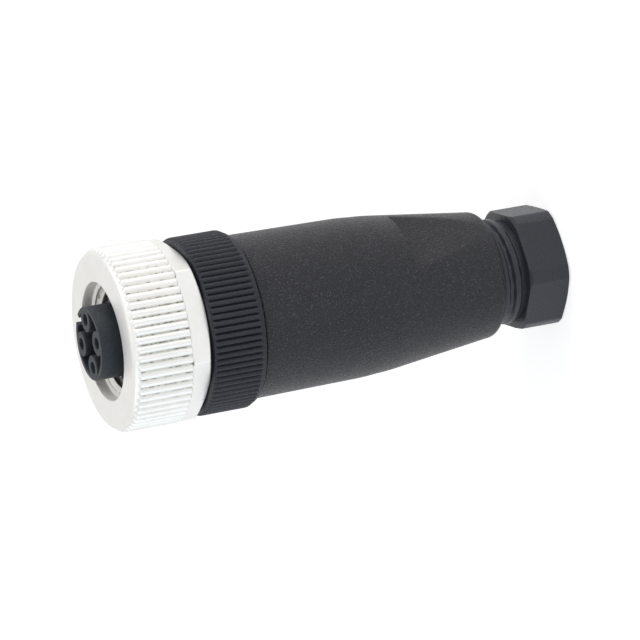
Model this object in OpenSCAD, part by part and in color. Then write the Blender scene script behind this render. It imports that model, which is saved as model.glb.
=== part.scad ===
// Field-wired M12 cable socket, straight, with four contacts.
// The axis is Z. The gland screw's rear face is at z = 0 and the mating end points up.
// Right-hand threads are plain cylinders here: the screw at its mean size, the nut at its core.

/* [Coupling nut] */
// Diameter over the knurl
nut_d = 20; // [19:0.1:22]
// Length from the collar's rear to the front face
nut_len = 9.1; // [8.6:0.1:11]
// Ribs round the knurl
nut_ribs = 63; // [48:1:72]
// Depth of the grooves between the ribs
nut_rib_depth = 0.38; // [0.2:0.02:0.5]
// Radius of the rounded front edge
nut_edge_r = 0.5; // [0.3:0.1:1]
// Length of the hexagonal collar behind the knurl
collar_len = 2.4; // [1.8:0.1:3]
// Diameter of the smooth mouth
mouth_d = 12.9; // [12.4:0.1:13.6]
// Depth of the smooth mouth
mouth_depth = 1.3; // [0.8:0.1:1.6]
// Core diameter of the M12 x 1 thread
thread_core_d = 10.92; // [10.8:0.02:11.2]
// Thickness of the inner flange that the insert traps
flange_t = 1.7; // [1.2:0.1:2]

/* [Contact insert] */
// Diameter of the socket plug
plug_d = 8; // [7.8:0.05:8.3]
// How far the plug stands out of the nut
plug_proud = 1.5; // [0.8:0.1:2.2]
// Thickness of the shoulder that holds the nut on
shoulder_t = 1.25; // [0.8:0.05:1.6]
// Radial room that the shoulder has inside the nut's thread
shoulder_room = 0.21; // [0.1:0.01:0.3]
// How far the shoulder stands out from the neck that the nut turns on
shoulder_step = 0.45; // [0.3:0.05:0.7]
// Diameter of the circle through the contacts
contact_pcd = 5.2; // [5:0.05:5.4]
// Diameter of a pin hole in the face
pin_hole_d = 1.3; // [1.15:0.05:1.35]
// Radius of the rounded lobe round each pin hole
lobe_r = 1.36; // [1.2:0.02:1.45]
// Depth of the cross-shaped relief in the face
relief_depth = 2.6; // [1.5:0.1:3.5]
// Thickness of the rim outside the relief
rim_t = 0.5; // [0.35:0.05:0.6]
// Width of the coding slot
key_w = 1.15; // [0.9:0.05:1.4]
// Length of the coding slot along the plug
key_len = 5.5; // [4:0.1:6]
// Turn of the contacts about the axis
insert_turn = -3; // [-15:1:15]

/* [Grip ring] */
// How far the ring's ribs lie inside the nut's knurl
ring_inset = 0.23; // [0:0.01:0.5]
// Length of the ring
ring_len = 6; // [5:0.1:8]
// Ribs round the ring
ring_ribs = 84; // [60:2:96]
// Depth of the grooves between the ribs
ring_rib_depth = 0.3; // [0.15:0.05:0.4]
// Length of the plain band behind the ribs
ring_band = 0.4; // [0.2:0.1:1]
// Thickness of the ring's front wall
ring_web = 2.6; // [1.8:0.1:3.2]
// Thickness of the ring's skirt under its ribs
ring_wall = 1.27; // [0.8:0.01:1.4]

/* [Housing] */
// Length of the housing
housing_len = 29.5; // [27:0.1:34]
// Diameter at the front
housing_d = 18; // [17.8:0.05:18.6]
// Diameter where the taper starts
waist_d = 17.66; // [17.3:0.02:18]
// Wall at the rear face, before its edge is rounded
tail_wall = 0.98; // [0.8:0.02:1.3]
// Length of the taper, measured from the rear face
taper_len = 14.7; // [13:0.1:18]
// Radius that blends the taper into the barrel
waist_blend = 14; // [6:1:20]
// Radius of the rounded rear edge
tail_edge_r = 1; // [0.5:0.1:1.1]
// Wall behind each of the two spanner flats
flats_wall = 1.15; // [0.9:0.05:1.4]
// Length of the spanner flats, measured from the rear face
flats_len = 10.9; // [8:0.1:12]
// Turn of the spanner flats about the axis
flats_turn = -47.5; // [-90:0.5:90]
// Wall outside the seal at the front
front_wall = 0.55; // [0.4:0.05:0.8]
// Length of the thread that takes the terminal block
front_thread_len = 4; // [3:0.1:5]
// Step from that thread down to the wiring chamber
thread_step = 0.7; // [0.4:0.05:1]

/* [Terminals] */
// Room between the terminal block and the wiring chamber
block_room = 0.7; // [0.3:0.05:1]
// Length of the terminal block behind its thread
block_len = 6.3; // [6:0.1:7.5]
// Diameter of a terminal barrel
barrel_d = 2.9; // [2.6:0.05:3.1]
// Length of a terminal barrel
barrel_len = 5.8; // [5.4:0.1:6.2]
// Diameter of the wire hole in a barrel
wire_d = 1.4; // [1.1:0.05:1.5]
// Depth of the wire hole
wire_depth = 4.4; // [3.8:0.1:4.6]
// Diameter of a contact's rod
rod_d = 1.2; // [1:0.05:1.3]
// Outer diameter of a contact's sleeve
sleeve_d = 1.7; // [1.6:0.02:1.8]
// Bore of a contact's sleeve
sleeve_bore = 1.04; // [1:0.01:1.1]
// Length of a contact's sleeve
sleeve_len = 7.4; // [6:0.1:8]
// Mean diameter of a terminal screw
screw_d = 1.9; // [1.7:0.05:2]
// How far a terminal screw's end lies below the block's side
screw_recess = 0.2; // [0:0.05:0.5]
// Width of the slot in a terminal screw
screw_slot = 0.35; // [0.25:0.05:0.5]

/* [Gland] */
// How far the head's flats stand out from the thread
head_step = 0.4; // [0.3:0.05:0.8]
// How far the head's cut corners stand out from its flats
head_corner = 0.6; // [0.3:0.05:0.8]
// Height of the head
head_h = 4.9; // [3.5:0.1:6]
// Open thread between the head and the housing
gland_gap = 2.8; // [2.5:0.1:4]
// Mean diameter of the gland thread
gland_thread_d = 11.9; // [11.6:0.05:12]
// Length of the screw's shank
shank_len = 5.9; // [5.5:0.1:7.5]
// Hole for the cable
cable_hole_d = 6.6; // [6.3:0.1:6.8]
// Rounding radius where the cable leaves
cable_edge_r = 0.8; // [0.4:0.1:1]
// How far the screw can still be driven in
clamp_travel = 2.5; // [1.5:0.1:2.5]
// Thickness of the clamping cage's ring
cage_ring_t = 1.6; // [1.2:0.1:2]
// Length of the clamping fingers
finger_len = 3; // [2:0.1:3.2]
// Thickness of the clamping fingers
finger_t = 1.1; // [0.7:0.05:1.3]
// Number of clamping fingers
fingers = 8; // [6:1:12]
// Width of the slots between the fingers
finger_slot = 0.9; // [0.6:0.1:1.2]
// Bore of the cable seal
cable_seal_bore = 6; // [5.6:0.1:6.1]
// Length of the cable seal
cable_seal_len = 7.6; // [7:0.1:9]

/* [Seals and clearances] */
// Thickness of the face seal
face_seal_t = 1.2; // [1:0.05:1.3]
// Depth of the groove round the plug that the face seal sits in
seal_groove = 0.2; // [0.15:0.05:0.25]
// Thickness of the seal in front of the housing
housing_seal_t = 0.8; // [0.6:0.05:0.9]
// Radial clearance of turning and threaded pairs
running = 0.05; // [0.02:0.01:0.08]
// Radial clearance of parts that drop in
drop_in = 0.15; // [0.1:0.01:0.2]
// Gap between moving faces along the axis
face_gap = 0.1; // [0.05:0.01:0.15]
// Gap between the housing and the grip ring
housing_gap = 0.2; // [0.1:0.05:0.3]

/* [Hidden] */
$fn = 96;

// Overlap that lets a cut run clear of a face
past = 1;
// Small chamfer on moulded edges
chamfer = 0.25;
// Cut-back at the rear corners of the nut's collar, along the axis
collar_cut = 0.6;
// Chamfer on the head's rear corners, along the axis
head_cut = 0.25;
// Floor between the cable seal and the wiring chamber
ledge_t = 1;
// Width of the seat that the floor gives the cable seal
ledge_seat = 0.5;
// Room round the shoulder and its seal inside the nut
relief_room = 0.3;
// How far the turned outline of a knurl stands outside its crests
rib_ease = 0.05;
// Lead-in at the mouth of the gland thread
thread_lead = 0.1;
// Radial room that the cage leaves round the cable hole
cage_room = 0.3;
// Gap between the gland screw's end and the cage it turns against
thrust_gap = 0.02;
// Turn of the nut's collar about the axis, as it happens to stand
collar_turn = 36;
// Turn of the gland screw's head about the axis, as it happens to stand
head_turn = 48;
// Length of the slit in a sleeve, from its mouth
slit_len = 4;
// Width of the slit that lets a sleeve spring open
slit_w = 0.2;
// How far a sleeve's mouth lies behind the face
mouth_back = 1;
// Depth of the pocket that the insert's tail sits in
tail_pocket = 1;
// Depth of the slot in a terminal screw
slot_depth = 0.6;

// Heights along the axis, from the rear
housing_z = head_h + gland_gap;
housing_top = housing_z + housing_len;
ring_z = housing_top + housing_gap;
ring_top = ring_z + ring_len;
nut_z = ring_top + face_gap;
nut_top = nut_z + nut_len;
knurl_z = nut_z + collar_len;
flange_top = nut_z + flange_t;
shoulder_z = flange_top + face_gap;
shoulder_top = shoulder_z + shoulder_t;
plug_top = nut_top + plug_proud;
groove_top = shoulder_top + face_seal_t + face_gap;
boss_top = ring_top - ring_web;
tail_z = boss_top - tail_pocket;
shank_top = head_h + shank_len;
cage_z = shank_top + thrust_gap;
cage_floor = cage_z + cage_ring_t;
finger_top = cage_floor + finger_len;
seat_z = finger_top + clamp_travel + face_gap;
seal_top = cage_floor + cable_seal_len;
chamber_z = seal_top + ledge_t;
front_thread_z = housing_top - front_thread_len - housing_seal_t;
block_z = front_thread_z + running - block_len;
barrel_z = block_z + chamfer;
barrel_top = barrel_z + barrel_len;
screw_z = barrel_z + wire_depth / 2;
sleeve_top = plug_top - mouth_back;
sleeve_z = sleeve_top - sleeve_len;

// Radii that other pieces share
nut_r = nut_d / 2;
collar_af = nut_d * cos(30);
plug_r = plug_d / 2;
shoulder_r = thread_core_d / 2 - shoulder_room;
neck_r = shoulder_r - shoulder_step;
groove_r = plug_r - seal_groove;
face_seal_r = groove_r + running / 2 + face_seal_t;
ring_r = nut_r - ring_inset;
boss_r = ring_r - ring_rib_depth - ring_wall;
spigot_r = housing_d / 2 - front_wall - housing_seal_t - running;
chamber_r = spigot_r - thread_step;
block_r = chamber_r - block_room;
contact_r = contact_pcd / 2;
gland_bore_r = gland_thread_d / 2 + running;
cage_r = gland_bore_r - drop_in;
finger_r = cage_r - finger_t;
cable_seal_r = finger_r - running;
wire_wall_r = contact_r + wire_d / 2;
screw_len = block_r - screw_recess - wire_wall_r - running;
head_af = gland_thread_d + 2 * head_step;
head_corner_r = head_af / 2 + head_corner;

// Points on an arc in the profile plane, from angle a0 to a1
function arc(x, z, r, a0, a1, steps) =
    [for (i = [0:steps]) let (a = a0 + (a1 - a0) * i / steps) [x + r * cos(a), z + r * sin(a)]];

// A corner at b, between a and c, rounded to radius r or to what the shorter side allows
function rounded(a, b, c, r, steps) =
    let (u = (a - b) / norm(a - b), v = (c - b) / norm(c - b),
         half = acos(u * v) / 2,
         reach = min(r / tan(half), 0.95 * norm(a - b), 0.95 * norm(c - b)),
         q = reach * tan(half), m = b + (u + v) / norm(u + v) * q / sin(half),
         s = b + u * reach - m, e = b + v * reach - m,
         a0 = atan2(s.y, s.x), turn = atan2(s.x * e.y - s.y * e.x, s * e))
    [for (i = [0:steps]) let (t = a0 + turn * i / steps) m + q * [cos(t), sin(t)]];

// Outline of a circle with n rounded ribs: each rib falls away from its crest by a power law
function ribbed(r, depth, n, steps, power) =
    [for (i = [0:n - 1], k = [0:steps - 1])
        let (f = 2 * k / steps - 1, a = 360 * (i + k / steps) / n, d = r - depth * pow(abs(f), power))
        [d * cos(a), d * sin(a)]];

// Turned body: the profile runs [radius, height] and closes on the axis where it starts there
module turned(profile) {
    rotate_extrude() polygon(profile);
}

// Places its children at the four contacts, turned to face outwards
module at_contact(i) {
    rotate([0, 0, insert_turn + 90 * i]) translate([contact_r, 0, 0]) children();
}

// Hexagonal prism with one flat facing +X
module hex_prism(af, h) {
    rotate([0, 0, 30]) cylinder(d = af / cos(30), h = h, $fn = 6);
}

// A rubber ring: a round cord pressed flat where it sits on its face
module seal_ring(r_in, r_out, z, t) {
    cord = (r_out - r_in) / 2;
    rotate_extrude()
        translate([r_in + cord, z])
            intersection() {
                translate([0, t / 2]) scale([1, t * 1.1 / (2 * cord)]) circle(r = cord);
                translate([-cord, 0]) square([2 * cord, t]);
            }
}

module housing() {
    bore = gland_bore_r;
    rear = [bore + tail_wall, housing_z];
    waist = [waist_d / 2, housing_z + taper_len];
    front = [housing_d / 2, housing_top];
    lip = [bore + thread_lead, housing_z];
    seal_wall_r = housing_d / 2 - front_wall;
    color([0.16, 0.17, 0.19])
        difference() {
            turned(concat(
                [lip],
                rounded(lip, rear, waist, tail_edge_r, 8),
                rounded(rear, waist, front, waist_blend, 6),
                [front - [0, chamfer], front - [chamfer, 0]],
                [[seal_wall_r, housing_top],
                 [seal_wall_r, front_thread_z + front_thread_len],
                 [spigot_r + running, front_thread_z + front_thread_len],
                 [spigot_r + running, front_thread_z],
                 [chamber_r, front_thread_z - chamfer],
                 [chamber_r, chamber_z],
                 [cable_seal_r - ledge_seat, chamber_z],
                 [cable_seal_r - ledge_seat, seal_top],
                 [cable_seal_r + drop_in, seal_top],
                 [cable_seal_r + drop_in, seat_z + bore - cable_seal_r - drop_in],
                 [bore, seat_z],
                 [bore, housing_z + thread_lead]]));
            for (side = [0, 180])
                rotate([0, 0, flats_turn + side])
                    translate([bore + flats_wall, -housing_d / 2, housing_z - past])
                        cube([housing_d, housing_d, flats_len + past]);
        }
}

module grip_ring() {
    outside = ring_r + rib_ease;
    band_r = ring_r - ring_rib_depth + rib_ease;
    rib_z = ring_z + ring_band;
    color([0.13, 0.14, 0.17])
        difference() {
            union() {
                intersection() {
                    translate([0, 0, ring_z + ring_band / 2])
                        linear_extrude(ring_len - ring_band / 2)
                            polygon(ribbed(ring_r, ring_rib_depth, ring_ribs, 4, 2));
                    turned([[0, rib_z - chamfer / 2], [band_r - chamfer / 2, rib_z - chamfer / 2],
                            [outside, rib_z + outside - band_r], [outside, ring_top - chamfer],
                            [outside - chamfer, ring_top], [0, ring_top]]);
                }
                turned([[0, ring_z], [band_r - chamfer, ring_z], [band_r, ring_z + chamfer],
                        [band_r, rib_z], [0, rib_z]]);
            }
            turned([[0, ring_z - past], [boss_r, ring_z - past], [boss_r, boss_top],
                    [neck_r + running, boss_top], [neck_r + running, ring_top + past], [0, ring_top + past]]);
        }
}

module terminal_block() {
    color([0.20, 0.22, 0.25])
        difference() {
            turned([[0, block_z], [block_r - chamfer, block_z], [block_r, block_z + chamfer],
                    [block_r, front_thread_z + running], [spigot_r - chamfer, front_thread_z + running],
                    [spigot_r, front_thread_z + running + chamfer], [spigot_r, ring_z],
                    [boss_r - running, ring_z], [boss_r - running, boss_top],
                    [neck_r + running, boss_top], [neck_r + running, tail_z], [0, tail_z]]);
            for (i = [0:3])
                at_contact(i) {
                    translate([0, 0, block_z - past])
                        cylinder(d = barrel_d + 2 * running, h = past + barrel_top - block_z);
                    translate([0, 0, barrel_top - past])
                        cylinder(d = rod_d + 2 * running, h = tail_z - barrel_top + 2 * past);
                    translate([0, 0, screw_z])
                        rotate([0, 90, 0]) cylinder(d = screw_d + 2 * running, h = block_r);
                }
        }
}

module contact_insert() {
    color([0.22, 0.25, 0.29])
        difference() {
            turned([[0, tail_z], [neck_r - chamfer, tail_z], [neck_r, tail_z + chamfer], [neck_r, shoulder_z],
                    [shoulder_r, shoulder_z], [shoulder_r, shoulder_top], [groove_r, shoulder_top],
                    [groove_r, groove_top], [plug_r, groove_top],
                    [plug_r, plug_top - chamfer], [plug_r - chamfer, plug_top], [0, plug_top]]);
            rotate([0, 0, insert_turn]) {
                face_relief();
                coding_slot();
            }
            for (i = [0:3]) at_contact(i) contact_passage();
        }
}

// Cross-shaped relief: a disc less the lobes that stay round the pin holes
module face_relief() {
    translate([0, 0, plug_top - relief_depth])
        linear_extrude(relief_depth + past)
            difference() {
                circle(r = plug_r - rim_t);
                for (a = [0:90:270]) rotate(a) translate([contact_r, 0]) circle(r = lobe_r);
            }
}

// Coding slot: opens one arm of the relief through the rim
module coding_slot() {
    rotate([0, 0, 45])
        translate([contact_r, -key_w / 2, plug_top - key_len])
            cube([plug_r, key_w, key_len + past]);
}

// Countersunk pin hole with the wider passage of a contact behind it
module contact_passage() {
    turned([[0, tail_z - past], [sleeve_d / 2 + running, tail_z - past],
            [sleeve_d / 2 + running, sleeve_top + running], [pin_hole_d / 2, sleeve_top + running],
            [pin_hole_d / 2, plug_top - chamfer], [pin_hole_d / 2 + chamfer, plug_top],
            [pin_hole_d / 2 + chamfer, plug_top + past], [0, plug_top + past]]);
}

module coupling_nut() {
    outside = nut_r + rib_ease;
    knurl_low = nut_r - nut_rib_depth - rib_ease;
    core_r = thread_core_d / 2;
    relief_r = max(shoulder_r, face_seal_r) + relief_room;
    relief_top = shoulder_top + face_seal_t;
    color([0.86, 0.86, 0.84])
        difference() {
            union() {
                intersection() {
                    translate([0, 0, knurl_z])
                        linear_extrude(nut_len - collar_len)
                            polygon(ribbed(nut_r, nut_rib_depth, nut_ribs, 6, 2.5));
                    turned(concat([[0, knurl_z], [knurl_low, knurl_z], [outside, knurl_z + outside - knurl_low]],
                                  arc(outside - nut_edge_r, nut_top - nut_edge_r, nut_edge_r, 0, 90, 6),
                                  [[0, nut_top]]));
                }
                intersection() {
                    translate([0, 0, nut_z]) rotate([0, 0, collar_turn]) hex_prism(collar_af, collar_len + past);
                    turned([[0, nut_z], [collar_af / 2 + 2 * rib_ease, nut_z],
                            [outside, nut_z + collar_cut], [outside, knurl_z + past], [0, knurl_z + past]]);
                }
            }
            turned([[0, nut_z - past], [neck_r + 2 * running, nut_z - past], [neck_r + 2 * running, flange_top],
                    [relief_r, flange_top], [relief_r, relief_top], [core_r, relief_top + chamfer],
                    [core_r, nut_top - mouth_depth - chamfer * 2],
                    [mouth_d / 2, nut_top - mouth_depth], [mouth_d / 2, nut_top + past], [0, nut_top + past]]);
        }
}

// One contact: slit socket sleeve in front, rod, and drilled terminal barrel behind
module socket_contact(i) {
    color([0.83, 0.68, 0.36])
        at_contact(i)
            difference() {
                turned([[0, barrel_z], [barrel_d / 2, barrel_z], [barrel_d / 2, barrel_top],
                        [rod_d / 2, barrel_top], [rod_d / 2, sleeve_z - sleeve_d / 4],
                        [sleeve_d / 2, sleeve_z], [sleeve_d / 2, sleeve_top],
                        [sleeve_bore / 2, sleeve_top], [sleeve_bore / 2, sleeve_z + sleeve_d],
                        [0, sleeve_z + sleeve_d]]);
                translate([0, 0, barrel_z - past]) cylinder(d = wire_d, h = wire_depth + past);
                translate([0, 0, screw_z]) rotate([0, 90, 0]) cylinder(d = screw_d + 2 * running, h = barrel_d);
                translate([-sleeve_d, -slit_w / 2, sleeve_top - slit_len])
                    cube([2 * sleeve_d, slit_w, slit_len + past]);
            }
}

module socket_contact_1() { socket_contact(0); }
module socket_contact_2() { socket_contact(1); }
module socket_contact_3() { socket_contact(2); }
module socket_contact_4() { socket_contact(3); }

// One headless slotted terminal screw, lying across the block and clear of the wire hole
module terminal_screw(i) {
    color([0.75, 0.75, 0.72])
        at_contact(i)
            translate([wire_wall_r - contact_r + running, 0, screw_z])
                rotate([0, 90, 0])
                    difference() {
                        turned([[0, 0], [screw_d / 4, 0], [screw_d / 2, screw_d / 4],
                                [screw_d / 2, screw_len], [0, screw_len]]);
                        translate([-screw_slot / 2, -screw_d, screw_len - slot_depth])
                            cube([screw_slot, 2 * screw_d, slot_depth + past]);
                    }
}

module terminal_screw_1() { terminal_screw(0); }
module terminal_screw_2() { terminal_screw(1); }
module terminal_screw_3() { terminal_screw(2); }
module terminal_screw_4() { terminal_screw(3); }

module face_seal() {
    color([0.10, 0.10, 0.11])
        seal_ring(face_seal_r - face_seal_t, face_seal_r, shoulder_top, face_seal_t);
}

module housing_seal() {
    color([0.10, 0.10, 0.11])
        seal_ring(spigot_r + running / 2, spigot_r + housing_seal_t, ring_z - housing_seal_t, housing_seal_t);
}

module cable_seal() {
    bore = cable_seal_bore / 2;
    color([0.12, 0.12, 0.12])
        turned([[bore + chamfer, cage_floor], [cable_seal_r - chamfer, cage_floor],
                [cable_seal_r, cage_floor + chamfer], [cable_seal_r, seal_top - chamfer],
                [cable_seal_r - chamfer, seal_top], [bore + chamfer, seal_top],
                [bore, seal_top - chamfer], [bore, cage_floor + chamfer]]);
}

// Clamping cage: a ring with fingers that close on the seal
module clamp_cage() {
    bore = cable_hole_d / 2 + cage_room;
    color([0.24, 0.24, 0.26])
        difference() {
            turned([[bore, cage_z], [cage_r - chamfer, cage_z], [cage_r, cage_z + chamfer],
                    [cage_r, finger_top - finger_t + chamfer], [finger_r + chamfer, finger_top],
                    [finger_r, finger_top], [finger_r, cage_floor], [bore, cage_floor]]);
            for (i = [0:fingers - 1])
                rotate([0, 0, 360 * i / fingers])
                    translate([finger_r - chamfer, -finger_slot / 2, cage_floor])
                        cube([cage_r, finger_slot, finger_len + past]);
        }
}

module gland_screw() {
    bore = cable_hole_d / 2;
    shank_r = gland_thread_d / 2;
    color([0.20, 0.21, 0.23])
        difference() {
            union() {
                intersection() {
                    rotate([0, 0, head_turn]) hex_prism(head_af, head_h);
                    turned([[0, 0], [head_af / 2 - chamfer, 0], [head_corner_r, head_cut],
                            [head_corner_r, head_h - head_cut], [head_af / 2, head_h], [0, head_h]]);
                }
                turned([[0, chamfer], [shank_r - chamfer, chamfer], [shank_r - chamfer, head_h + chamfer],
                        [shank_r, head_h + 2 * chamfer], [shank_r, shank_top - chamfer],
                        [shank_r - chamfer, shank_top], [0, shank_top]]);
            }
            turned(concat([[0, -past], [bore + cable_edge_r, -past]],
                          arc(bore + cable_edge_r, cable_edge_r, cable_edge_r, 270, 180, 6),
                          [[bore, shank_top + past], [0, shank_top + past]]));
        }
}

housing();
grip_ring();
terminal_block();
contact_insert();
coupling_nut();
socket_contact_1();
socket_contact_2();
socket_contact_3();
socket_contact_4();
terminal_screw_1();
terminal_screw_2();
terminal_screw_3();
terminal_screw_4();
face_seal();
housing_seal();
cable_seal();
clamp_cage();
gland_screw();
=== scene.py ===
# %% [markdown]
# # A round, screw-locked cable connector
# The connector stands on its rear face, with its axis along +Z and its mating end up.
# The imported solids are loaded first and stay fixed: they say where every piece is and
# what it moves with. This script only dresses them. It makes finer surfaces for the
# pieces that show, and gives a finish to every piece, seen or not.

import bpy
import numpy as np
from mathutils import Matrix, Vector


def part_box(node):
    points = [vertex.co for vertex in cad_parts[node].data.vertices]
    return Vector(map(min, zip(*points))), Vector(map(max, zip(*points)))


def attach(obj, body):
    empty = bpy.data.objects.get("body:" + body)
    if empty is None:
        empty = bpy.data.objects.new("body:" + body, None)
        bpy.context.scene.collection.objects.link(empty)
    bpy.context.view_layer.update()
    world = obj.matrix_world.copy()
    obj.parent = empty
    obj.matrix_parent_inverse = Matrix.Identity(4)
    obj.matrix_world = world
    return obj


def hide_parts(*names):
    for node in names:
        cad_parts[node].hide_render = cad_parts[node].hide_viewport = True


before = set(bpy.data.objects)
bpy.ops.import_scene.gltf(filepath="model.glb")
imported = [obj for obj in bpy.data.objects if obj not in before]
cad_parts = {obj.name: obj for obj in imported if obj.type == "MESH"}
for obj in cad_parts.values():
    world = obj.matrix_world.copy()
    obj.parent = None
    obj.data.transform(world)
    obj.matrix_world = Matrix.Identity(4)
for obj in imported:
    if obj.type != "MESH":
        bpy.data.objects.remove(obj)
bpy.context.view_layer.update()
MM = 0.001
bpy.context.scene.view_settings.view_transform = "Standard"


# %% [markdown]
# ## Where the pieces are
# Each piece starts from the box of the solid that it stands for. A box gives the lowest
# and the highest point and the widest radius. Working in millimetres keeps the numbers
# readable, and they become metres only when a mesh is made.

# %% Heights and radii of the solids, in millimetres
def span(node):
    """Lowest height, highest height and widest radius of a solid, in mm."""
    low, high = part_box(node)
    return low.z / MM, high.z / MM, max(high.x, -low.x, high.y, -low.y) / MM


nut_low, nut_top, nut_r = span("coupling_nut")
ring_low, ring_top, ring_r = span("grip_ring")
shell_low, shell_top, shell_r = span("housing")
plug_low, plug_top, _ = span("contact_insert")
_, screw_end, _ = span("gland_screw")
_, block_top, _ = span("terminal_block")
_, bush_top, _ = span("cable_seal")
lip_low, lip_top, _ = span("face_seal")
for name in ("coupling_nut", "grip_ring", "housing", "contact_insert", "gland_screw"):
    print(name, [round(v, 2) for v in span(name)])


# %% [markdown]
# ## The camera
# A long lens from about 0.44 m keeps the perspective of a product picture. The camera
# looks down at the axis by 21 degrees, and is rolled until the connector lies across
# the view with its mating end to the left. It is made from four plain numbers: where it
# looks, how far away it is, how high it stands and how much it is rolled.

# %% Aim the camera
LOOK_AT = Vector((-1.842, 0.0, 27.56)) * MM
DISTANCE = 439.4 * MM
HEIGHT_ANGLE = np.radians(21.214)
ROLL = np.radians(-100.17)
forward = Vector((0.0, np.cos(HEIGHT_ANGLE), -np.sin(HEIGHT_ANGLE)))
level_right = Vector((1.0, 0.0, 0.0))
level_up = level_right.cross(forward)
right = level_right * np.cos(ROLL) + level_up * np.sin(ROLL)
up = right.cross(forward)
camera = bpy.data.objects.new("camera", bpy.data.cameras.new("camera"))
camera.data.lens = 226.4
camera.data.sensor_width = 36.0
camera.data.clip_start = 0.01
camera.matrix_world = Matrix((
    (right.x, up.x, -forward.x, 0.0), (right.y, up.y, -forward.y, 0.0),
    (right.z, up.z, -forward.z, 0.0), (0.0, 0.0, 0.0, 1.0)))
camera.location = LOOK_AT - forward * DISTANCE
bpy.context.scene.collection.objects.link(camera)
bpy.context.scene.camera = camera
print("camera at", [round(v / MM, 1) for v in camera.location], "mm")


# %% [markdown]
# ## From a grid of points to a surface
# Every turned or moulded piece here is one closed sheet: a cross-section carried round
# the axis. Its points fill a grid, where a row is one step along the cross-section and a
# column is one angle. The first row joins the last and the first column joins the last,
# so the sheet has no seam and no open edge. Making it with whole arrays is quick, and
# any ripple, such as a rib or a thread, is only a number added to the radius.

# %% Helper: a closed sheet from radii and heights
def columns(count):
    """Angles round the axis, evenly spaced, as one row."""
    return np.arange(count)[None, :] * 2 * np.pi / count


def make_mesh(name, points, faces, sharp=30.0):
    """A mesh object from points in mm and faces, smooth except at edges sharper than this."""
    mesh = bpy.data.meshes.new(name)
    mesh.from_pydata((points * MM).tolist(), [], faces.tolist())
    mesh.update()
    mesh.set_sharp_from_angle(angle=np.radians(sharp))
    made = bpy.data.objects.new(name, mesh)
    bpy.context.scene.collection.objects.link(made)
    return made


def ring_faces(rows, cols):
    """Quads of a grid whose rows and columns both close: each takes a point, the next
    column's, the next row's, and back."""
    row, col = np.meshgrid(np.arange(rows), np.arange(cols), indexing="ij")
    below, beside = (row + 1) % rows, (col + 1) % cols
    at = lambda r, c: (r * cols + c).ravel()
    return np.stack([at(row, col), at(row, beside), at(below, beside), at(below, col)], 1)


def turned(name, radius, height, angle, sharp=30.0):
    """Closed sheet round the axis: x = r cos a, y = r sin a, z = h, for every row and column.
    The cross-section runs so that the faces point out: up the outside, then down the inside."""
    radius, height, angle = np.broadcast_arrays(radius, height, angle)
    points = np.stack([radius * np.cos(angle), radius * np.sin(angle), height], 2)
    made = make_mesh(name, points.reshape(-1, 3), ring_faces(*radius.shape), sharp)
    print(name, radius.shape[0], "rows", radius.shape[1], "columns")
    return made


# %% Helper: cross-sections and soft limits
def path(*stretches):
    """Joins stretches of [radius, height] points into one cross-section, as two columns."""
    joined = np.concatenate([np.atleast_2d(np.array(s, float)) for s in stretches])
    return joined[:, :1], joined[:, 1:]


def straight(start, end, steps):
    """Evenly spaced points from start to end, both included."""
    return np.linspace(start, end, steps + 1)


def round_corner(centre, radius, begin, finish, steps):
    """Points on an arc round a centre, from angle begin to finish in degrees."""
    a = np.radians(np.linspace(begin, finish, steps + 1))
    return np.stack([centre[0] + radius * np.cos(a), centre[1] + radius * np.sin(a)], 1)


def soft_min(a, b, soft):
    """The smaller of two values, with the corner between them rounded over a width soft."""
    return 0.5 * (a + b - np.sqrt((a - b) ** 2 + soft * soft))


def ramp(value, low, high):
    """0 below low, 1 above high, and a smooth S between them."""
    t = np.clip((value - low) / (high - low), 0, 1)
    return t * t * (3 - 2 * t)


def polygon_radius(angle, apothem, sides, turn):
    """Radius of a regular polygon: its apothem over the cosine of the angle to the nearest flat."""
    off = (angle - turn + np.pi / sides) % (2 * np.pi / sides) - np.pi / sides
    return apothem / np.cos(off)


# %% [markdown]
# ## The coupling nut
# A die-cast, nickel-plated nut. Its knurl is 63 rounded ribs with a bullet-shaped end at
# the front and a short rounded end at the rear. Behind the knurl a hexagonal collar takes
# a spanner, and inside is a smooth mouth with an M12 x 1 thread behind it. The ribs could
# be a small mesh repeated 63 times, but then they would not grow out of the rim as cast
# metal does. So the ribs, the hexagon and the thread are all ripples on one sheet.

# %% The ribs as a ripple
NUT_RIBS = 63
RIB_RISE = 0.40
rim_r = nut_r - RIB_RISE


def rib_wave(angle, count, past_end, power=2.4):
    """Height of a rib from 0 to 1: 1 - d^power, where d is the distance from the rib's
    middle line in half pitches. Past the end of the rib that distance also grows
    lengthwise, so the rib ends in a rounded bullet."""
    side = (angle * count / (2 * np.pi)) % 1.0 * 2 - 1
    away = np.sqrt(side ** 2 + np.clip(past_end, 0, None) ** 2)
    return np.clip(1 - away ** power, 0, None)


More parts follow.
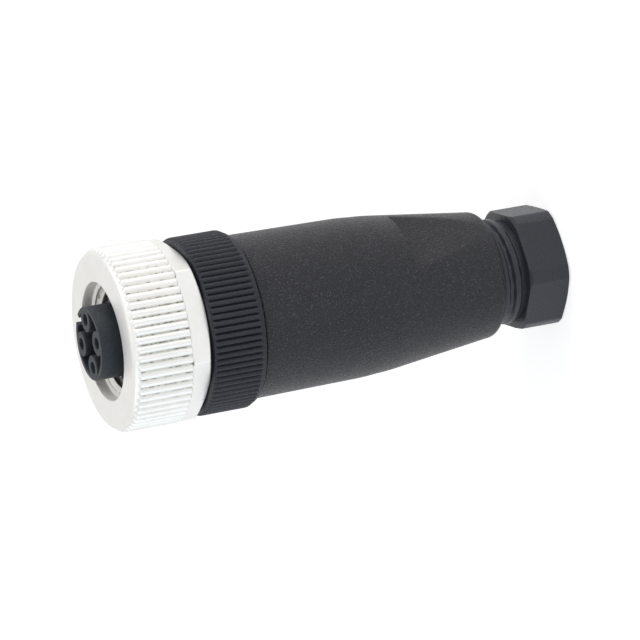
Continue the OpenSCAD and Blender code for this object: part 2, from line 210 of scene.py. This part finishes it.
# %% The nut's cross-section
COLLAR_LONG = 2.4
KNURL_LOW = nut_low + COLLAR_LONG
THREAD_PITCH = 1.0
THREAD_CORE = 5.46
nut_outer = [
    straight((8.50, nut_low), (8.58, nut_low + 0.01), 1),
    straight((rim_r, nut_low + 0.04), (rim_r, nut_low + 0.76), 9),
    straight((rim_r, nut_low + 0.95), (rim_r, KNURL_LOW - 0.02), 4),
    straight((rim_r, KNURL_LOW), (rim_r, KNURL_LOW + 0.30), 6),
    straight((rim_r, KNURL_LOW + 0.6), (rim_r, nut_top - 1.2), 6),
    straight((rim_r, nut_top - 1.05), (rim_r, nut_top - 0.36), 10),
    round_corner((rim_r - 0.32, nut_top - 0.32), 0.32, 0, 90, 6),
    straight((rim_r - 0.8, nut_top), (6.58, nut_top), 5),
]
nut_bore = [
    round_corner((6.57, nut_top - 0.12), 0.12, 90, 180, 3),
    straight((6.45, nut_top - 0.5), (6.45, nut_top - 1.20), 2),
    straight((6.25, nut_top - 1.28), (6.02, nut_top - 1.36), 2),
    straight((6.02, nut_top - 1.40), (6.02, nut_low + 4.45), 48),
    straight((6.00, nut_low + 4.35), (5.55, nut_low + 4.2), 1),
    straight((5.55, nut_low + 3.0), (5.55, nut_low + 1.7), 1),
    straight((4.92, nut_low + 1.7), (4.92, nut_low), 1),
    straight((6.0, nut_low), (7.8, nut_low), 1),
]
nut_radius, nut_height = path(*nut_outer, *nut_bore)
nut_angle = columns(NUT_RIBS * 12)
outside_rows = sum(len(np.atleast_2d(s)) for s in nut_outer)
print("nut rows", len(nut_radius), "of which outside", outside_rows)

# %% Carry it round: ribs, hexagon, then thread
is_outer = (np.arange(len(nut_radius)) < outside_rows)[:, None]
on_knurl = is_outer & (nut_height > KNURL_LOW + 0.01)
front_end = (nut_height - (nut_top - 0.90)) / 0.52
rear_end = ((KNURL_LOW + 0.22) - nut_height) / 0.22
waves = rib_wave(nut_angle, NUT_RIBS, np.maximum(front_end, rear_end))
knurl_radius = nut_radius + RIB_RISE * waves

COLLAR_TURN = np.radians(36)
hexagon = polygon_radius(nut_angle, nut_r * np.cos(np.pi / 6), 6, COLLAR_TURN)
cone = 8.70 + (nut_height - nut_low) * 2.1
collar_radius = soft_min(soft_min(hexagon, cone, 0.08), nut_r - 0.02, 0.06)
on_collar = is_outer & (nut_height > nut_low + 0.03) & ~on_knurl

turns = (nut_height - nut_angle * THREAD_PITCH / (2 * np.pi)) / THREAD_PITCH % 1.0
flank = np.clip((np.abs(turns - 0.5) * 2 - 0.18) / 0.62, 0, 1)
thread_end = 1 - ramp(nut_height, nut_top - 1.75, nut_top - 1.40)
in_thread = ramp(nut_height, nut_low + 4.3, nut_low + 4.9) * thread_end
thread_cut = (6.02 - THREAD_CORE) * (1 - flank) * in_thread
is_bore = ~is_outer & (nut_height > nut_low + 4.25) & (nut_radius < 6.1)

radius = np.where(on_knurl, knurl_radius, np.where(on_collar, collar_radius, nut_radius))
radius = np.where(is_bore, nut_radius - thread_cut, radius)
nut = turned("nut_shell", radius, nut_height, nut_angle, 50)

# %% Note how deep each point lies, for the finish
def note(piece, name, values):
    """Stores one number a point on a piece, which its finish can read by name."""
    layer = piece.data.attributes.new(name, "FLOAT", "POINT")
    layer.data.foreach_set("value", values.astype(np.float32).ravel())


rib_face = 1 - ramp(nut_height, nut_top - 0.75, nut_top - 0.35)
# Depth in the knurl's grooves and in the bore's thread grooves. The finish reads it for roughness and paints the
# grooves darker, partly as dirt and partly as painted shade.
note(nut, "groove", np.where(on_knurl, (1 - waves) * rib_face, 0) + np.where(is_bore, flank * in_thread * 1.3, 0))
# Marks the threaded bore, which the finish paints darker all over as painted shade inside the nut.
note(nut, "thread", is_bore * in_thread + 0 * nut_angle)
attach(nut, "nut")
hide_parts("coupling_nut")
print("nut points", len(nut.data.vertices))


# %% [markdown]
# ## The grip ring
# A moulded ring with 84 finer ribs, held with the fingers while the housing is screwed
# off. The ribs end in small rounded tips at the front, and run into a plain band at the
# rear. The same ripple is used again with other numbers.

# %% The grip ring
RING_RIBS = 84
RING_RISE = 0.30
band_r = ring_r - RING_RISE
ring_radius, ring_height = path(
    straight((8.25, ring_low), (band_r - 0.12, ring_low), 2),
    round_corner((band_r - 0.12, ring_low + 0.12), 0.12, -45, 0, 2),
    straight((band_r, ring_low + 0.25), (band_r, ring_low + 0.85), 6),
    straight((band_r, ring_low + 1.2), (band_r, ring_top - 0.9), 5),
    straight((band_r, ring_top - 0.75), (band_r, ring_top - 0.10), 7),
    round_corner((band_r - 0.08, ring_top - 0.08), 0.08, 0, 90, 3),
    straight((9.0, ring_top), (4.9, ring_top), 3),
    straight((4.87, ring_top - 0.1), (4.87, block_top), 1),
    straight((5.2, block_top), (8.2, block_top), 1),
    straight((8.2, block_top - 0.2), (8.2, ring_low + 0.05), 1))
ring_angle = columns(RING_RIBS * 9)
outer = (ring_radius > band_r - 0.01)
past = np.maximum((ring_height - (ring_top - 0.34)) / 0.34, ((ring_low + 0.62) - ring_height) / 0.24)
waves = rib_wave(ring_angle, RING_RIBS, past, 2.0) * outer
radius = ring_radius + RING_RISE * waves
ring = turned("ribbed_ring", radius, ring_height, ring_angle, 50)
note(ring, "groove", np.where(outer, 1 - waves, 0.0))
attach(ring, "carrier")
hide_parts("grip_ring")


# %% [markdown]
# ## The housing
# A tapered shell, moulded with an eroded, slightly rough skin. Two flats for a spanner
# are cut into its rear third. On a turned sheet a flat is simply a limit: where the
# radius would pass the flat's plane it is held back to distance over cosine.

# %% The housing
FLAT_TURN = np.radians(-47.5)
FLAT_OUT = 7.15
FLAT_LONG = 10.9
FLAT_END = shell_low + FLAT_LONG
GLAND_BORE = 6.05
tail_r, waist_r, waist_z = 6.98, 8.83, shell_low + 14.7
rear_slope = (waist_r - tail_r) / (waist_z - shell_low)
waist = np.linspace(-2.4, 2.4, 9)
front_slope = (shell_r - waist_r) / (shell_top - waist_z)
waist_bend = waist_r + np.where(waist < 0, rear_slope, front_slope) * waist - 0.11 * (1 - np.abs(waist) / 2.4) ** 2
shell_radius, shell_height = path(
    [(GLAND_BORE + 0.1, shell_low), (GLAND_BORE + 0.13, shell_low)],
    round_corner((6.20, shell_low + 0.90), 0.90, -84, -8, 9),
    straight((7.13, shell_low + 1.15), (tail_r + rear_slope * 10.4, shell_low + 10.4), 14),
    [(tail_r + rear_slope * (10.9 + d), shell_low + 10.9 + d) for d in (-0.25, -0.06, 0.0, 0.06, 0.25)],
    np.stack([waist_bend, waist_z + waist], 1),
    straight((waist_r + front_slope * 4.0, waist_z + 4.0), (shell_r - 0.005, shell_top - 0.4), 6),
    round_corner((shell_r - 0.2, shell_top - 0.2), 0.2, 0, 90, 4),
    straight((8.45, shell_top), (8.45, shell_top - 0.8), 1),
    straight((7.65, shell_top - 0.8), (7.65, shell_top - 4.8), 1),
    straight((6.9, shell_top - 5.05), (6.9, bush_top + 1.0), 2),
    straight((4.2, bush_top + 1.0), (4.2, bush_top), 1),
    straight((4.85, bush_top), (4.85, bush_top - 0.9), 1),
    straight((6.0, bush_top - 2.0), (6.0, shell_low + 0.1), 4))
shell_angle = columns(480)
OUTSIDE_ROWS = 52
outside = np.arange(len(shell_radius))[:, None] < OUTSIDE_ROWS
side = (shell_angle - FLAT_TURN + np.pi / 2) % np.pi - np.pi / 2
flat = FLAT_OUT / np.maximum(np.cos(side), 0.05)
cut = (shell_height < FLAT_END + 0.01) & (shell_radius > 6.3) & (shell_height < shell_top - 1) & outside
radius = np.where(cut, soft_min(shell_radius, flat, 0.05), shell_radius)
shell = turned("cable_housing", radius, shell_height, shell_angle, 40)
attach(shell, "housing")
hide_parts("housing")
print("housing rows", len(shell_radius))


# %% [markdown]
# ## The gland screw
# The pressing screw that squeezes the cable seal. It has a hexagonal head whose corners
# are cut to narrow bands, and a coarse thread of which two turns show in the neck. The
# head is the lesser of a hexagon and a circle. The thread is a ripple that climbs by one
# pitch a turn.

# %% The gland screw
HEAD_HIGH = 4.9
HEAD_FLAT = 6.35
GLAND_PITCH = 1.411
head_turn = np.radians(48)
gland_radius, gland_height = path(
    straight((4.2, 0.0), (6.05, 0.0), 2),
    straight((6.12, 0.005), (6.95, 0.25), 6),
    straight((6.95, 0.35), (6.95, HEAD_HIGH - 0.35), 4),
    straight((6.95, HEAD_HIGH - 0.25), (6.62, HEAD_HIGH), 3),
    straight((6.55, HEAD_HIGH), (5.62, HEAD_HIGH), 3),
    straight((5.62, HEAD_HIGH + 0.06), (5.62, screw_end - 0.5), 62),
    straight((5.60, screw_end - 0.45), (5.45, screw_end - 0.02), 3),
    straight((5.40, screw_end), (3.35, screw_end), 2),
    straight((3.30, screw_end - 0.05), (3.30, 0.85), 4),
    round_corner((4.10, 0.80), 0.80, 180, 262, 7))
gland_angle = columns(432)
head_rows = (gland_height <= HEAD_HIGH) & (gland_radius > 6.0)
head = polygon_radius(gland_angle, HEAD_FLAT, 6, head_turn)
turns = (gland_height - gland_angle * GLAND_PITCH / (2 * np.pi)) / GLAND_PITCH % 1.0
crest = 1 - np.clip((np.abs(turns - 0.5) * 2 - 0.42) / 0.34, 0, 1)
on_thread = ramp(gland_height, HEAD_HIGH + 0.35, HEAD_HIGH + 0.75) * (gland_radius > 5.61) * (gland_height > HEAD_HIGH)
radius = np.where(head_rows, soft_min(gland_radius, head, 0.03), gland_radius + 0.33 * crest * on_thread)
gland = turned("gland_hexagon", radius, gland_height, gland_angle, 25)
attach(gland, "gland")
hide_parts("gland_screw")


# %% [markdown]
# ## The contact insert
# The insert's face is a flat pattern: a rim, four lobes round the pin holes, and a cross
# between them that opens through the rim as a coding slot. Such a shape is not a sheet
# round an axis, so it is drawn as a flat outline, given thickness and a small bevel, and
# then made a mesh. Below the face the insert is turned, as the other pieces are.

# %% Outline of the face
PIN_CIRCLE = 2.6
LOBE = 1.36
RELIEF = 3.5
PLUG = 4.0
SLOT = 1.15
LIFT = np.radians(-3)


def arc_points(centre, radius, begin, finish, steps):
    """Points on a circle round a centre, from angle begin to finish in radians."""
    a = np.linspace(begin, finish, steps + 1)
    return np.stack([centre[0] + radius * np.cos(a), centre[1] + radius * np.sin(a)], 1)


def face_outline():
    """The rim's outside, in through the slot, round the cross, and out again. A lobe meets
    the relief's circle at the angle whose cosine is (d^2 + R^2 - r^2) / 2dR."""
    meet = np.arccos((PIN_CIRCLE ** 2 + RELIEF ** 2 - LOBE ** 2) / (2 * PIN_CIRCLE * RELIEF))
    half = SLOT / 2
    open_out, open_in = np.arcsin(half / PLUG), np.arcsin(half / RELIEF)
    slot_at = np.pi / 4
    parts = [arc_points((0, 0), PLUG, slot_at + open_out, slot_at + 2 * np.pi - open_out, 120)]
    parts.append(arc_points((0, 0), RELIEF, slot_at - open_in, meet, 3))
    for lobe in range(4):
        turn = -lobe * np.pi / 2
        middle = PIN_CIRCLE * np.array([np.cos(turn), np.sin(turn)])
        start = RELIEF * np.array([np.cos(turn + meet), np.sin(turn + meet)]) - middle
        swing = np.arctan2(start[1], start[0])
        sweep = 2 * np.pi - 2 * ((swing - turn) % (2 * np.pi))
        parts.append(arc_points(middle, LOBE, swing, swing + sweep, 26)[1:-1])
        low = turn - meet
        high = turn - np.pi / 2 + meet if lobe < 3 else slot_at + open_in - 2 * np.pi
        parts.append(arc_points((0, 0), RELIEF, low, high, 5))
    return np.concatenate(parts)


outline = face_outline()
print("face outline points", len(outline))


# %% Helper: a flat outline given thickness and a bevel
def plate(name, outlines, low, high, bevel, turn=LIFT):
    """A bevelled plate between two heights in mm: closed outlines in a flat, filled curve,
    where an outline inside another is a hole. The bevel lies inside the outlines."""
    curve = bpy.data.curves.new(name, "CURVE")
    curve.dimensions = "2D"
    curve.fill_mode = "BOTH"
    curve.extrude = ((high - low) / 2 - bevel) * MM
    curve.bevel_depth = bevel * MM
    curve.offset = -bevel * MM
    curve.bevel_resolution = 2
    for points in outlines:
        spline = curve.splines.new("POLY")
        spline.points.add(len(points) - 1)
        flat4 = np.concatenate([points * MM, np.zeros((len(points), 1)), np.ones((len(points), 1))], 1)
        spline.points.foreach_set("co", flat4.ravel())
        spline.use_cyclic_u = True
    drawn = bpy.data.objects.new(name + "_drawn", curve)
    bpy.context.scene.collection.objects.link(drawn)
    bpy.context.view_layer.update()
    mesh = bpy.data.meshes.new_from_object(drawn.evaluated_get(bpy.context.evaluated_depsgraph_get()))
    bpy.data.objects.remove(drawn)
    mesh.transform(Matrix.Translation((0, 0, (low + high) / 2 * MM)) @ Matrix.Rotation(turn, 4, "Z"))
    made = bpy.data.objects.new(name, mesh)
    bpy.context.scene.collection.objects.link(made)
    mesh.set_sharp_from_angle(angle=np.radians(35))
    print(name, len(mesh.vertices), "points")
    return made


# %% The face, the slotted plug behind it and the turned foot
pins = [PIN_CIRCLE * np.array([np.cos(a), np.sin(a)]) for a in np.arange(4) * np.pi / 2]
holes = [arc_points(p, 0.66, 0, 2 * np.pi, 28)[:-1] for p in pins]
face = plate("insert_face", [outline] + holes, plug_top - 2.6, plug_top, 0.07)

open_at = np.arcsin(SLOT / 2 / PLUG)
notch = np.concatenate([
    arc_points((0, 0), PLUG, np.pi / 4 + open_at, np.pi / 4 + 2 * np.pi - open_at, 120),
    [np.array([np.cos(np.pi / 4), np.sin(np.pi / 4)]) * 2.6 + s * SLOT / 2 * np.array([-np.sin(np.pi / 4), np.cos(np.pi / 4)])
     for s in (-1, 1)]])
stem = plate("insert_stem", [notch] + holes, plug_top - 5.5, plug_top - 2.6, 0.0)

foot_radius, foot_height = path(
    straight((0.9, plug_low), (4.6, plug_low), 1), straight((4.8, plug_low + 0.2), (4.8, lip_low - 1.25), 1),
    straight((5.0, lip_low - 1.25), (5.25, lip_low - 1.15), 1), straight((5.25, lip_low - 0.1), (5.1, lip_low), 1),
    straight((3.8, lip_low), (3.8, lip_top + 0.1), 1), straight((4.0, lip_top + 0.1), (4.0, plug_top - 5.5), 1),
    straight((3.0, plug_top - 5.5), (0.9, plug_top - 5.5), 1))
foot = turned("insert_foot", foot_radius, foot_height, columns(160), 30)
for part in (face, stem, foot):
    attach(part, "carrier")
    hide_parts("contact_insert")


# %% [markdown]
# ## Writing finishes as sums
# A finish is a small network of nodes. Drawing each one by hand hides the idea, so one
# small class holds the output of a node and lets Python's own signs join them: a + b
# adds an Add node, and 1 - mask works too. Any other node comes from its node method.

# %% The Lead class
class Lead:
    """The output of one node, which sums can be written with."""

    def __init__(self, tree, socket):
        self.tree, self.socket = tree, socket

    def node(self, kind, settings=None, inputs=None, output=0):
        """Adds a node: its settings first, then the values or leads of its inputs."""
        made = self.tree.nodes.new("ShaderNode" + kind)
        for key, value in (settings or {}).items():
            setattr(made, key, value)
        for key, value in (inputs or {}).items():
            if isinstance(value, Lead):
                self.tree.links.new(value.socket, made.inputs[key])
            else:
                made.inputs[key].default_value = value
        return Lead(self.tree, made.outputs[output])

    def maths(self, operation, a, b=0.0):
        return self.node("Math", {"operation": operation}, {0: a, 1: b})

    def __add__(self, other):
        return self.maths("ADD", self, other)

    __radd__ = __add__

    def __sub__(self, other):
        return self.maths("SUBTRACT", self, other)

    def __rsub__(self, other):
        return self.maths("SUBTRACT", other, self)

    def __mul__(self, other):
        return self.maths("MULTIPLY", self, other)

    __rmul__ = __mul__

    def __truediv__(self, other):
        return self.maths("DIVIDE", self, other)

    def __rtruediv__(self, other):
        return self.maths("DIVIDE", other, self)

    def __pow__(self, other):
        return self.maths("POWER", self, other)

    def between(self, low, high):
        """0 below low, 1 above high, and a smooth S between them."""
        return self.node("MapRange", {"interpolation_type": "SMOOTHSTEP"}, {0: self, 1: low, 2: high})


# %% Helpers shared by the finishes
def begin(name):
    """A new material: its tree, cleared, and the object's own coordinates."""
    material = bpy.data.materials.new(name)
    material.use_nodes = True
    tree = material.node_tree
    tree.nodes.clear()
    place = tree.nodes.new("ShaderNodeTexCoord")
    return material, Lead(tree, place.outputs["Object"])


def noise(place, size, detail=2.0, rough=0.5):
    """Cloudy noise with features about this many mm across."""
    return place.node("TexNoise", None, {
        "Vector": place, "Scale": 1.0 / (size * MM), "Detail": detail, "Roughness": rough})


def tint(mask, dark, light):
    """Mixes two colours by a mask."""
    return mask.node("Mix", {"data_type": "RGBA"}, {0: mask, 6: (*dark, 1), 7: (*light, 1)}, 2)


def bump(height, strength, depth):
    """Bumps the surface by a height from 0 to 1 that stands for a depth in mm."""
    return height.node("Bump", None, {"Strength": strength, "Distance": depth * MM, "Height": height})


def surface(place, sockets):
    """Ends a finish: one Principled shader on the output."""
    shader = place.node("BsdfPrincipled", None, sockets)
    out = place.tree.nodes.new("ShaderNodeOutputMaterial")
    place.tree.links.new(shader.socket, out.inputs["Surface"])


# %% [markdown]
# ## Nickel on a die-cast nut
# Nickel is a warm, pale metal. The casting under it leaves fine pits and a soft grain.
# The depth noted on each point makes the grooves rougher and paints them darker toward brown:
# partly dirt, broken into patches by a noise, and partly painted shade in every groove.

# %% Nickel
def nickel():
    material, place = begin("cast_nickel")
    groove = place.node("Attribute", {"attribute_name": "groove"}, output=2)
    grain = noise(place, 0.16, 3.0, 0.6)
    cloud = noise(place, 1.3, 2.0)
    pits = noise(place, 0.34, 2.0, 0.7).between(0.60, 0.72)
    # The threaded bore's mask, used to paint shade into the bore.
    thread = place.node("Attribute", {"attribute_name": "thread"}, output=2)
    # Grooves painted darker by their depth: an even darkening in every groove is painted shade, and the noise patches
    # on top of it are dirt.
    dirt_and_groove_shade = (groove ** 2.6) * (0.22 + 1.0 * noise(place, 0.5, 2.0).between(0.46, 0.62))
    clean = tint(cloud, (0.84, 0.83, 0.795), (0.93, 0.925, 0.905))
    # How far the nickel is darkened toward brown: dirt patches, casting pits, and painted shade in the grooves and in
    # the threaded bore.
    shade = (dirt_and_groove_shade * 0.62 + pits * 0.16 + thread * 0.30).between(0.0, 1.0)
    colour = shade.node("Mix", {"data_type": "RGBA"}, {0: shade, 6: clean, 7: (0.24, 0.195, 0.15, 1)}, 2)
    surface(place, {
        "Base Color": colour, "Metallic": 0.80,
        "Roughness": 0.30 + 0.16 * grain + 0.2 * groove,
        "Normal": bump(grain * 0.6 + pits * -0.5 + cloud * 0.6, 0.55, 0.03)})
    return material


# %% [markdown]
# ## Four black plastics
# The housing has the rough skin of an eroded mould, which sparkles; that sparkle is painted into
# its colour as small pale specks, painted glints. The ring and the gland are satin, and the insert is
# a matte blue-grey. They share one recipe: a dark base that varies a little, a fine bump, and a roughness that follows
# the same grain.

# %% Plastics
def plastic(name, dark, light, rough, grain_size, depth, shine=0.4, painted_glint_amount=0.0):
    """Moulded plastic: colours from dark to light, its roughness, the grain's size and depth in mm, its shine, and how
    strongly pale painted glints are mixed into its colour.
    """
    material, place = begin(name)
    grain = noise(place, grain_size, 2.0, 0.6)
    cloud = noise(place, 2.5, 2.0)
    fine = grain.between(0.36, 0.66)
    mix = cloud * 0.5 + fine * 0.5
    # Pale specks mixed into the colour are painted glints, standing for the sparkle of an eroded skin.
    painted_glints = noise(place, grain_size * 0.9, 1.0).between(0.60, 0.72) * painted_glint_amount
    colour = painted_glints.node("Mix", {"data_type": "RGBA"}, {0: painted_glints, 6: tint(mix, dark, light), 7: (0.10, 0.10, 0.125, 1)}, 2)
    surface(place, {
        "Base Color": colour, "Roughness": rough + 0.12 * (1 - fine),
        "Specular IOR Level": shine,
        "Normal": bump(fine, 1.0, depth)})
    return material


def rubber(name, shade):
    """Soft seal rubber: near black, dull, with a faint bloom."""
    return plastic(name, (shade * 0.7,) * 3, (shade * 1.5,) * 3, 0.62, 0.3, 0.006, 0.25)


def metal(name, dark, light, rough):
    """Turned metal: a fine grain and a cloudy tone, brighter and duller."""
    material, place = begin(name)
    grain = noise(place, 0.12, 2.0)
    cloud = noise(place, 0.9, 2.0)
    surface(place, {
        "Base Color": tint(cloud, dark, light), "Metallic": 1.0,
        "Roughness": rough + 0.15 * grain, "Normal": bump(grain, 0.5, 0.01)})
    return material


finishes = {
    "nickel": nickel(),
    # The housing's last number is the strength of its painted glints.
    "housing_plastic": plastic("eroded_black", (0.005, 0.005, 0.008), (0.019, 0.019, 0.026), 0.34, 0.20, 0.10, 0.45, 0.8),
    "ring_plastic": plastic("ring_black", (0.012, 0.013, 0.020), (0.024, 0.026, 0.038), 0.42, 0.22, 0.015, 0.4),
    "gland_plastic": plastic("gland_black", (0.022, 0.025, 0.034), (0.032, 0.036, 0.047), 0.34, 0.25, 0.012, 0.45),
    "insert_plastic": plastic("insert_slate", (0.020, 0.026, 0.033), (0.040, 0.049, 0.060), 0.5, 0.15, 0.012, 0.4),
    "block_plastic": plastic("block_slate", (0.020, 0.022, 0.026), (0.034, 0.037, 0.042), 0.5, 0.2, 0.010),
    "cage_plastic": plastic("cage_grey", (0.030, 0.030, 0.034), (0.050, 0.050, 0.056), 0.48, 0.2, 0.008),
    "seal_rubber": rubber("seal_rubber", 0.012),
    "contact_gold": metal("contact_gold", (0.80, 0.52, 0.20), (0.94, 0.66, 0.30), 0.22),
    "screw_steel": metal("screw_steel", (0.55, 0.55, 0.56), (0.72, 0.72, 0.73), 0.25),
}
print("finishes", list(finishes))

# %% Put each finish on its pieces
kept = {
    "terminal_block": "block_plastic", "clamp_cage": "cage_plastic", "cable_seal": "seal_rubber",
    "face_seal": "seal_rubber", "housing_seal": "seal_rubber", "socket_contact": "contact_gold",
    "terminal_screw": "screw_steel"}
for node_name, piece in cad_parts.items():
    slot = next((finish for start, finish in kept.items() if node_name.startswith(start)), None)
    if slot:
        piece.data.materials.clear()
        piece.data.materials.append(finishes[slot])
for piece, slot in ((nut, "nickel"), (ring, "ring_plastic"), (shell, "housing_plastic"), (gland, "gland_plastic"),
                    (face, "insert_plastic"), (stem, "insert_plastic"), (foot, "insert_plastic")):
    piece.data.materials.clear()
    piece.data.materials.append(finishes[slot])


# %% [markdown]
# ## Floor, light and background
# The connector stands on a plain pale floor under soft studio light. Camera and mirror
# rays see the world and the floor as white paper, while the light that falls on the
# connector stays gentle, so colours look as they are written.

# %% The white room
world = bpy.data.worlds.new("white_room")
world.use_nodes = True
world.node_tree.nodes.clear()
room = Lead(world.node_tree, world.node_tree.nodes.new("ShaderNodeLightPath").outputs["Is Camera Ray"])
rays = room.socket.node
seen = (room + Lead(room.tree, rays.outputs["Is Glossy Ray"]) + Lead(room.tree, rays.outputs["Is Transmission Ray"]))
strength = 0.40 + 0.60 * seen.between(0.0, 1.0)
glow = room.node("Background", None, {"Color": (1, 1, 1, 1), "Strength": strength})
world_out = world.node_tree.nodes.new("ShaderNodeOutputWorld")
world.node_tree.links.new(glow.socket, world_out.inputs["Surface"])
bpy.context.scene.world = world

floor = make_mesh("floor", np.array([[-1500, -1500, 0], [1500, -1500, 0], [1500, 1500, 0], [-1500, 1500, 0]], float),
                  np.array([[0, 1, 2, 3]]))
paper = bpy.data.materials.new("floor_paper")
paper.use_nodes = True
paper.node_tree.nodes.clear()
rays = paper.node_tree.nodes.new("ShaderNodeLightPath")
seen = Lead(paper.node_tree, rays.outputs["Is Camera Ray"]) + Lead(paper.node_tree, rays.outputs["Is Glossy Ray"])
flat_white = seen.node("BsdfDiffuse", None, {"Color": (0.8, 0.8, 0.8, 1)})
self_white = seen.node("Emission", None, {"Color": (1, 1, 1, 1), "Strength": 0.68 * seen.between(0.0, 1.0)})
both = seen.node("AddShader", None, {0: flat_white, 1: self_white})
paper_out = paper.node_tree.nodes.new("ShaderNodeOutputMaterial")
paper.node_tree.links.new(both.socket, paper_out.inputs["Surface"])
floor.data.materials.append(paper)


# %% Lamps
def lamp(name, place, look, size, watts, colour=(1, 1, 1)):
    """A square soft lamp at a place in mm, turned to look at a point in mm."""
    made = bpy.data.objects.new(name, bpy.data.lights.new(name, "AREA"))
    made.data.shape = "SQUARE"
    made.data.size = size * MM
    made.data.energy = watts
    made.data.color = colour
    made.location = Vector(place) * MM
    made.rotation_euler = (Vector(look) * MM - made.location).to_track_quat("-Z", "Y").to_euler()
    bpy.context.scene.collection.objects.link(made)


lamp("top_lamp", (380, -150, 90), (0, 0, 28), 160, 0.50)
lamp("front_lamp", (60, -200, 380), (0, 0, 45), 200, 0.08)
lamp("low_lamp", (-320, -160, 60), (0, 0, 25), 200, 0.30, (0.60, 0.82, 1.0))
